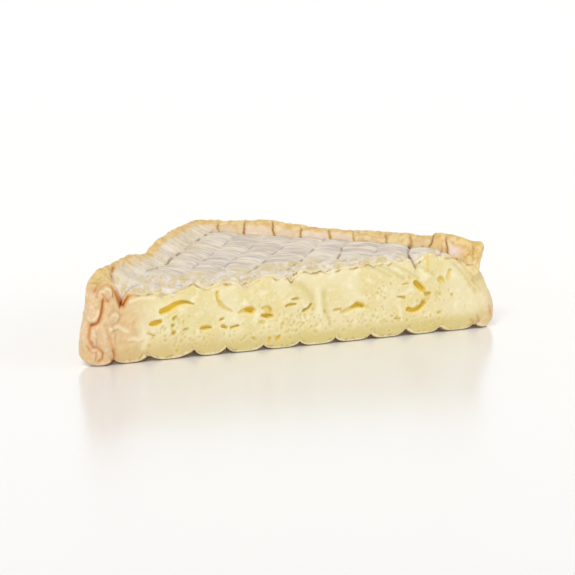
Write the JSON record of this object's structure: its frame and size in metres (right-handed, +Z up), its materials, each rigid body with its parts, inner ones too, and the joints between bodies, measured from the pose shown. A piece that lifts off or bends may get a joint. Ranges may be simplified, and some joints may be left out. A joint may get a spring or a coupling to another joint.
{
  "type": "half of a square soft cheese",
  "caption": "Half of a square washed-rind soft cheese cut corner to corner, lying flat, with small holes in its cut face and a sunken top inside a raised rim.",
  "frame": {"origin": "centre of the bounding box at the height of the underside", "axes": "+X along the cut face, from its left end to its right end as seen from the front; -Y the way the cut face looks; +Z up, out of the sunken top"},
  "size_m": [0.156, 0.0812, 0.0324],
  "materials": {
    "cheese": "soft, slightly moist pale yellow paste, orange-tan rind with white bloom"
  },
  "bodies": {
    "root": {"cheese": "cheese"}
  },
  "joints": []
}
